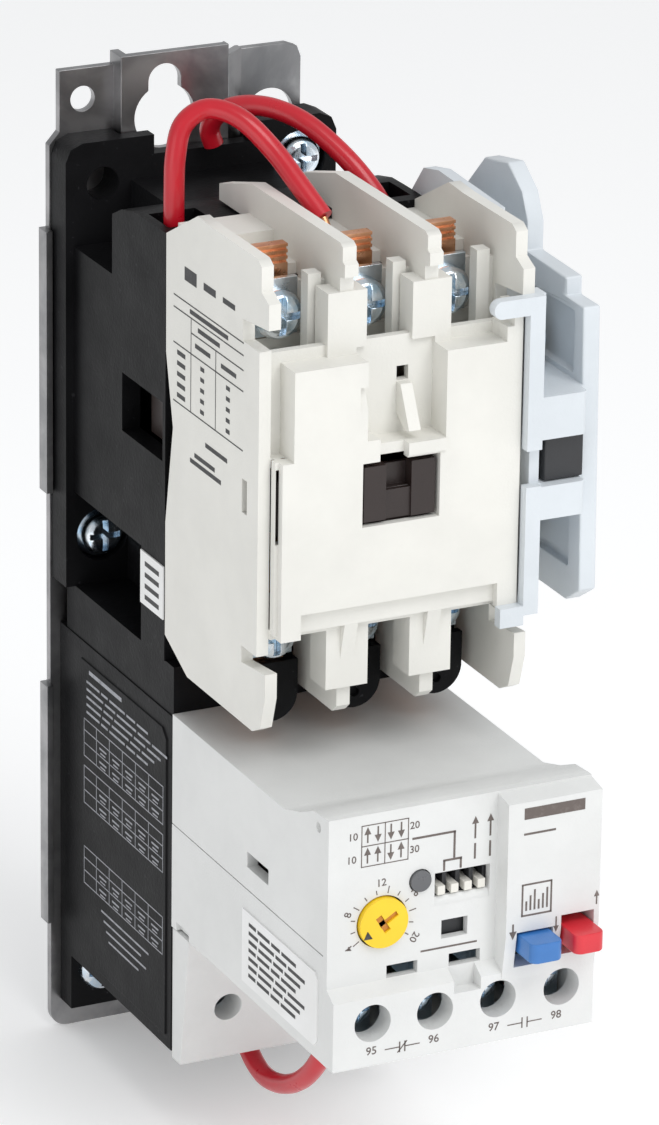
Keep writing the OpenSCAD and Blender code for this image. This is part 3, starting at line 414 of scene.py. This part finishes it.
# %% Roll the edges of every part in sight
for node, width in {
        "mounting_plate": 0.25, "contactor_base": 0.35, "contactor_cover": 0.3,
        "aux_housing": 0.3, "aux_outer_plate": 0.35, "aux_plunger": 0.3, "contact_carrier": 0.3,
        "relay_rear_housing": 0.35, "relay_adapter": 0.3, "load_terminal_block": 0.35,
        "relay_lower_shell": 0.35, "relay_upper_shell": 0.35, "relay_front_cover": 0.3,
        "reset_lever": 0.6, "trip_lever": 0.6, "setting_dial": 0.2, "line_contacts": 0.15,
        "load_contacts": 0.15, "terminal_clamps": 0.15, "terminal_screws": 0.15,
        "base_screws": 0.15, "relay_foot_screws": 0.15, "aux_screws": 0.12, "aux_clamps": 0.12,
        "dip_lever_1": 0.15, "dip_lever_2": 0.15, "dip_lever_3": 0.15, "dip_lever_4": 0.15,
        "status_led": 0.25, "control_terminal_screws": 0.12, "trip_flag": 0.15}.items():
    rolled(node, width)

# %% [markdown]
# The springs get shorter when a part is pushed in. Each spring here is a smooth-shaded copy of the
# CAD spring, which rides on the spring's body and is shown instead of it.


def pressed_spring(node, fixed_end):
    spring = copy_of(node, node + "_wound")
    bpy.ops.object.shade_smooth_by_angle(angle=math.radians(50))
    stand_in(spring, node)
    place(*fixed_end)
    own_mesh(spring)


pressed_spring("return_springs", (0, -30.1, 121.8))
pressed_spring("aux_spring", (28.3, -42.1, 121.8))
pressed_spring("reset_spring", (11.35, -100, 39.2))
pressed_spring("trip_spring", (18.2, -100, 72))

# %% [markdown]
# Three insulated wires are part of the starter. Two are the coil's jumpers: one
# goes over to the middle line terminal, the other to the right coil terminal.
# The third comes out of the lower block and climbs into the relay. Each keeps its given route. We
# draw a smooth line through the route's points and let the curve's own bevel make a round skin,
# then turn it into a mesh.

# %% Smooth route through listed points
def smooth_route(points, steps=6):
    points = [place(*p) for p in points]
    line = []
    for i in range(len(points) - 1):
        before, start = points[max(i - 1, 0)], points[i]
        end, after = points[i + 1], points[min(i + 2, len(points) - 1)]
        for j in range(steps):
            t = j / steps
            line.append(0.5 * (2 * start + (end - before) * t
                               + (2 * before - 5 * start + 4 * end - after) * t * t
                               + (3 * start - before - 3 * end + after) * t ** 3))
    return line + [points[-1]]


def round_wire(name, points, diameter, finish):
    """A round skin along the route, closed at both ends, as one mesh."""
    line = smooth_route(points)
    curve = bpy.data.curves.new(name, "CURVE")
    curve.dimensions = "3D"
    spline = curve.splines.new("POLY")
    spline.points.add(len(line) - 1)
    for point, target in zip(spline.points, line):
        point.co = (*target, 1)
    curve.bevel_depth = diameter * MM / 2
    curve.bevel_resolution = 6
    curve.use_fill_caps = True
    wire = bpy.data.objects.new(name, curve)
    bpy.context.collection.objects.link(wire)
    activate(wire)
    bpy.ops.object.convert(target="MESH")
    bpy.ops.object.shade_smooth_by_angle(angle=math.radians(50))
    wire = bpy.context.object
    wire.data.materials.clear()
    wire.data.materials.append(finishes[finish])
    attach(wire, "frame")
    wire_length = sum((b - a).length for a, b in zip(line, line[1:]))
    return wire, line, wire_length


print("wires can be drawn")

# %% [markdown]
# The first wire is stripped for its terminal, so a thinner copper strand goes on from the end of
# the red skin. Each wire's length is printed.

# %% The three wires and the bared end of the first
WIRE = 3.3
STRAND = WIRE / 2.3
first_route = [(-18.9, -38, 145.4), (-18.9, -38, 152), (-18.9, -38, 158), (-18.6, -37.8, 164),
               (-17, -37.2, 168.8), (-13.4, -38.3, 171.2), (-9.5, -41.9, 170.2), (-6, -46.5, 166),
               (-3.8, -51.8, 161.4), (-2, -56.4, 157.4)]
bared_route = [(-2, -56.4, 157.4), (-1.5, -58.6, 154.2), (-1.5, -60, 153.1), (-1.5, -62.7, 153),
               (-1.5, -63.3, 151.8), (-1.5, -63.35, 149)]
second_route = [(1, -9.6, 155.4), (0.2, -9.8, 158.2), (0.6, -12, 161.2), (2.6, -16, 163.5),
                (6, -20.5, 164), (9.5, -25, 162.6), (12.8, -29.6, 159.4), (15.6, -34, 155.4),
                (17.8, -37.2, 150.8), (18.9, -38, 145.4)]
third_route = [(-7.2, -40, 19), (-7.2, -41, 14), (-7.2, -44.5, 10.4), (-7.2, -50, 8.9),
               (-7.2, -57, 10.6), (-7.2, -64, 14.6), (-7.2, -70, 20.6), (-7.2, -74, 28),
               (-7.2, -75.4, 35), (-7.2, -75.6, 41)]
bared = round_wire("jumper_bared_end", bared_route, STRAND, "copper")[0]
for name, route, stands_for, ends in (
        ("jumper_to_line_terminal", first_route, "jumper_wires", [bared]),
        ("jumper_to_coil_terminal", second_route, "jumper_wires", []),
        ("control_supply_wire", third_route, "control_wire", [])):
    wire, line, wire_length = round_wire(name, route, WIRE, "red_insulation")
    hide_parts(stands_for)
    print(name, round(wire_length / MM, 1), "mm")

# %% [markdown]
# Printing is the finest detail on switchgear. A wall is a flat surface with its
# own right and up, given by a matrix, so that one set of tools prints on the
# front and on the left side. Each mark is a thin plate of ink. All marks of one
# colour on one wall are joined and get the thickness of an ink film.

# %% Walls to print on and the inks
def front_wall(y):
    return Matrix(((1, 0, 0, 0), (0, 0, -1, y * MM), (0, 1, 0, -HOLE_HEIGHT * MM), (0, 0, 0, 1)))


def left_wall(x):
    return Matrix(((0, 0, -1, x * MM), (-1, 0, 0, 0), (0, 1, 0, -HOLE_HEIGHT * MM), (0, 0, 0, 1)))


def ink(name, colour, worn):
    finish = Finish(name, 0.5)
    thin = finish.noise(900, 4, 0.7)
    finish.feed(Base_Color=finish.mix(thin.step(0.45, 0.75), colour, worn),
                Roughness=thin * 0.2 + 0.4)
    finish.bump(finish.noise(2500, 2, 0.5), 0.000005)
    return finish.material


grey_ink = ink("grey_ink", (0.13, 0.105, 0.095), (0.19, 0.16, 0.145))
black_ink = ink("black_ink", (0.02, 0.02, 0.022), (0.07, 0.07, 0.07))
white_ink = ink("white_ink", (0.34, 0.35, 0.38), (0.17, 0.175, 0.19))
print("three inks")

# %% [markdown]
# Strokes and arrow heads are flat primitives that are scaled in place, and the
# numbers are text turned into a mesh.

# %% Marks: bars, tables, arrows and numbers
marks = []


def lay_mark(wall, u, v, angle=0.0, width=1.0, height=1.0):
    """Puts the object just made on the wall at (u, v) and scales it, in millimetres."""
    mark = bpy.context.object
    mark.matrix_world = (wall @ Matrix.Translation((u * MM, v * MM, 0.00001))
                         @ Matrix.Rotation(angle, 4, "Z")
                         @ Matrix.Diagonal((width * MM, height * MM, MM, 1)))
    marks.append(mark)


def bar(wall, u0, v0, u1, v1, thick):
    """A straight stroke from one point to another."""
    bpy.ops.mesh.primitive_plane_add(size=1)
    run = math.hypot(u1 - u0, v1 - v0)
    lay_mark(wall, (u0 + u1) / 2, (v0 + v1) / 2, math.atan2(v1 - v0, u1 - u0), run, thick)


def table(wall, u0, v0, u1, v1, thick, columns=(), rows=()):
    for u in (u0, u1, *columns):
        bar(wall, u, v0, u, v1, thick)
    for v in (v0, v1, *rows):
        bar(wall, u0 - thick / 2, v, u1 + thick / 2, v, thick)


def arrow(wall, u, v0, v1, head, thick):
    """Points from v0 towards v1."""
    way = 1 if v1 > v0 else -1
    bar(wall, u, v0, u, v1 - way * head, thick)
    bpy.ops.mesh.primitive_circle_add(vertices=3, radius=1, fill_type="NGON")
    lay_mark(wall, u, v1 - way * head * 0.65, 0 if way > 0 else math.pi, head * 0.62, head * 0.75)


def number(wall, text, u, v, size, angle=0.0):
    bpy.ops.object.text_add()
    word = bpy.context.object
    word.data.body = text
    word.data.align_x, word.data.align_y = "CENTER", "CENTER"
    word.data.offset = 0.008
    word.data.resolution_u = 3
    bpy.ops.object.convert(target="MESH")
    lay_mark(wall, u, v, angle, size, size)


def print_marks(name, ink_material, body, film=0.02):
    """Joins the marks laid so far into one thin printed piece."""
    activate(marks[0])
    if len(marks) > 1:
        for mark in marks:
            mark.select_set(True)
        bpy.ops.object.join()
    piece = bpy.context.object
    piece.name = name
    bpy.ops.object.transform_apply(location=True, rotation=True, scale=True)
    thickness = piece.modifiers.new("ink_film", "SOLIDIFY")
    thickness.thickness = film * MM
    thickness.offset = 1
    apply_all(piece)
    piece.data.materials.clear()
    piece.data.materials.append(ink_material)
    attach(piece, body)
    marks.clear()
    print(name, len(piece.data.polygons), "faces")


print("marks can be printed")

# %% [markdown]
# The relay's front carries a small table of arrows that shows how the selector
# levers stand for each trip class, a line from it to the levers, and the scale
# of the setting dial. On the scale, every third stroke is long.

# %% Print on the relay's front
DIAL = (-13.2, 59.9)
panel = front_wall(-103.4)


def around_dial(degrees, reach):
    """A place on the panel at that angle and distance from the dial's centre."""
    angle = math.radians(degrees)
    return DIAL[0] + reach * math.cos(angle), DIAL[1] + reach * math.sin(angle)


table(panel, -16.9, 69.6, -9, 76.4, 0.16, columns=[-12.95], rows=[73])
for column, pair in enumerate((((1, -1), (1, 1)), ((-1, -1), (-1, 1)))):
    for row, ways in enumerate(pair):
        for i, way in enumerate(ways):
            u = -15.9 + column * 3.95 + i * 1.75
            low, high = (73.5, 76) if row == 0 else (70.1, 72.6)
            arrow(panel, u, low if way > 0 else high, high if way > 0 else low, 1.1, 0.26)
for text, u, v in (("10", -18.4, 74.8), ("10", -18.6, 71), ("20", -7.9, 75), ("30", -7.9, 71)):
    number(panel, text, u, v, 1.7)
bar(panel, -8.3, 72.8, -0.85, 72.8, 0.36)
bar(panel, -1.05, 72.8, -1.05, 68.4, 0.36)
bar(panel, -2.95, 68.2, 0.3, 68.2, 0.36)
bar(panel, -2.75, 68.2, -2.75, 66.5, 0.36)
bar(panel, 0.1, 68.2, 0.1, 66.5, 0.36)
for u in (2.5, 5.1):
    bar(panel, u, 67.6, u, 70.2, 0.34)
    arrow(panel, u, 71, 74.6, 1.1, 0.3)
for i in range(12):
    degrees = 214 - i * 22.5
    bar(panel, *around_dial(degrees, 4.7), *around_dial(degrees, 5.9 if i % 3 == 0 else 5.45), 0.17)
for text, degrees, away in (("4", 213, 6.6), ("8", 160, 6.2), ("12", 92, 6.5), ("16", 36, 6.9),
                            ("20", -33, 6.6)):
    number(panel, text, *around_dial(degrees, away), 1.75, math.radians(degrees - 90))
bar(panel, -6.5, 53.6, 3.2, 53.6, 0.3)
print_marks("relay_scale_print", grey_ink, "frame")

# %% [markdown]
# The raised panel to the right has only a plain bar, a fine line and a square
# of strokes, and arrows that say which way the two levers move. The terminals
# below have their usual contact numbers. The crossed symbol between 95 and 96
# stands for a contact that opens, and the plain one for a contact that closes.

# %% Print on the raised panel and the terminal row
raised = front_wall(-107.1)
bar(raised, 9, 75.3, 19.5, 75.3, 1.9)
bar(raised, 9, 71.9, 14.5, 71.9, 0.35)
table(raised, 9, 58.2, 14, 63.4, 0.3)
for i in range(6):
    bar(raised, 9.7 + i * 0.72, 59, 9.7 + i * 0.72, 60.6 + (i * 7) % 3 * 0.9, 0.32)
arrow(raised, 7.5, 57.1, 54.6, 1.2, 0.3)
arrow(raised, 15, 57.1, 54.6, 0.9, 0.25)
arrow(raised, 22, 57.9, 60.2, 0.9, 0.25)
print_marks("raised_panel_print", grey_ink, "frame")
terminals = front_wall(-105.9)
for text, u in (("95", -15.9), ("96", -5.2), ("97", 5.2), ("98", 16.1)):
    number(terminals, text, u, 39.6, 1.9)
for u in (-10.6, 10.6):
    for way in (-1, 1):
        bar(terminals, u + way * 0.45, 39.4, u + way * 3, 39.4, 0.18)
        bar(terminals, u + way * 0.45, 38.5, u + way * 0.45, 40.3, 0.22)
bar(terminals, -11.4, 38.5, -9.8, 40.3, 0.2)
print_marks("terminal_row_print", grey_ink, "frame")

# %% [markdown]
# The dial has a moulded T-slot with a brown key inside it, and a dark pointer
# opposite the slot's stem. Both turn with the dial, so they ride on its body.

# %% Key and pointer of the dial
KEY_TILT = 32
key_plastic = moulded("dial_key_brown", (0.62, 0.25, 0.02), 0.35, 0.12, 0.00002)
slot_floor = front_wall(-103.44)
for along, run, width in ((0.9, 3.3, 0.8), (-0.2, 1.0, 3.0)):
    bpy.ops.mesh.primitive_plane_add(size=1)
    lay_mark(slot_floor, *around_dial(KEY_TILT, along), math.radians(KEY_TILT), run, width)
print_marks("dial_key", key_plastic, "current_dial", film=0.35)
bpy.ops.mesh.primitive_circle_add(vertices=3, radius=1, fill_type="NGON")
lay_mark(front_wall(-104.2), DIAL[0] - 2.75, DIAL[1] - 1.75, math.radians(122), 0.95, 0.85)
print_marks("dial_pointer", black_ink, "current_dial", film=0.03)

# %% [markdown]
# The left side of the cover has a printed ratings table. Its words are replaced
# by short strokes, so only the table's look stays.

# %% Print on the cover's left side
side = left_wall(-22.5)
for v, u0 in ((144.6, 46), (142.6, 46), (140.2, 52.5), (136.8, 46), (127.2, 46)):
    bar(side, u0, v, 71.6, v, 0.22)
bar(side, 52.5, 127.2, 52.5, 142.6, 0.2)
bar(side, 61.6, 127.2, 61.6, 140.2, 0.2)
for i, size in enumerate((2.2, 1.2, 0.9)):
    bar(side, 50 + i * 7, 149.2, 54.4 + i * 7, 149.2, size)
for row in range(5):
    v = 135.5 - row * 1.75
    bar(side, 47.4, v, 50.4, v, 0.75)
    bar(side, 56, v, 57.4, v, 0.7)
    bar(side, 65.4, v, 66.8, v, 0.7)
for v, u0, u1 in ((143.6, 52, 66), (141.4, 55, 63), (138.6, 54, 59.6), (138.4, 63.5, 69),
                  (123.6, 58, 66), (120.6, 54, 61.5), (119.3, 52.4, 63.8)):
    bar(side, u0, v, u1, v, 0.75)
print_marks("cover_side_print", black_ink, "frame")

# %% [markdown]
# The relay's black half carries a long dark label with white frames and rows of
# fine white strokes, and the white labels have dark strokes. A row of strokes of
# uneven lengths passes for a line of small print.

# %% Print on the relay's side and on the white labels
def small_print(wall, u, v, runs, gap, thick):
    for run in runs:
        bar(wall, u, v, u + run, v, thick)
        u += run + gap


rating = left_wall(-22.75)
for top in (60.4, 52.0, 37.5):
    table(rating, 12, top - 6.6, 43.4, top, 0.18, columns=[17 + 5.2 * i for i in range(5)],
          rows=[top - 2, top - 4.3])
    for column in range(5):
        for row in range(2):
            u, v = 18.2 + column * 5.2, top - 3 - row * 2.4
            bar(rating, u, v, u + 2.8, v, 0.32)
            bar(rating, u + 0.4, v - 0.75, u + 2.4, v - 0.75, 0.26)
bar(rating, 14, 69.2, 27, 69.2, 0.7)
for i in range(5):
    longer = (i * 3) % 4 * 0.5
    small_print(rating, 13, 67.3 - i * 1.35, [r + longer for r in (5.2, 2.6, 6.1, 3.4, 4.3)],
                0.7, 0.42)
for i in range(4):
    bar(rating, 19 + i, 28.6 - i * 1.5, 38 - (i * 3) % 5, 28.6 - i * 1.5, 0.35)
print_marks("rating_label_print", white_ink, "frame")
for i in range(7):
    longer = (i * 5) % 3 * 0.4
    small_print(rating, 76, 49.8 - i * 1.45, [r + longer for r in (2.6, 4.4, 3.1, 5.2)], 0.6, 0.62)
for i in range(4):
    bar(rating, 36, 96.2 - i * 1.9, 41.4, 96.2 - i * 1.9, 0.8)
print_marks("white_label_print", black_ink, "frame")

# %% [markdown]
# Last, nothing is left selected.

# %% Finish
deselect()
